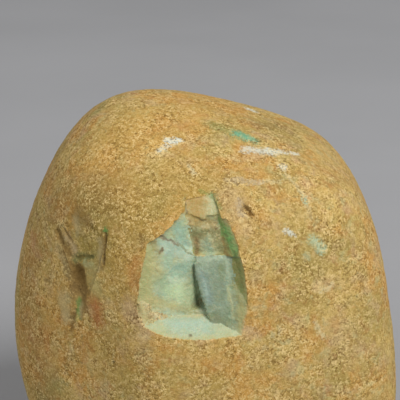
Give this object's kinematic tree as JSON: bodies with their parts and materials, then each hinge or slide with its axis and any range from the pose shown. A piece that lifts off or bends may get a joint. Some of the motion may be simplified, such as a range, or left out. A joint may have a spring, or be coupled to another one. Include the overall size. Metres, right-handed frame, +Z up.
{
  "type": "raw jade boulder",
  "caption": "Water-worn raw jadeite boulder with an ochre skin, and a broken window in its front that shows pale green jade",
  "frame": {"origin": "on the support plane, under the middle of the boulder's bounding box", "axes": "+Z up; the broken window faces -Y; +X is to the viewer's right when the window is seen from the front"},
  "size_m": [0.1808, 0.1624, 0.1954],
  "materials": {
    "jade_rough": "worn granular ochre skin, pale green broken jade in the window"
  },
  "bodies": {
    "root": {"boulder": "jade_rough"}
  },
  "joints": []
}
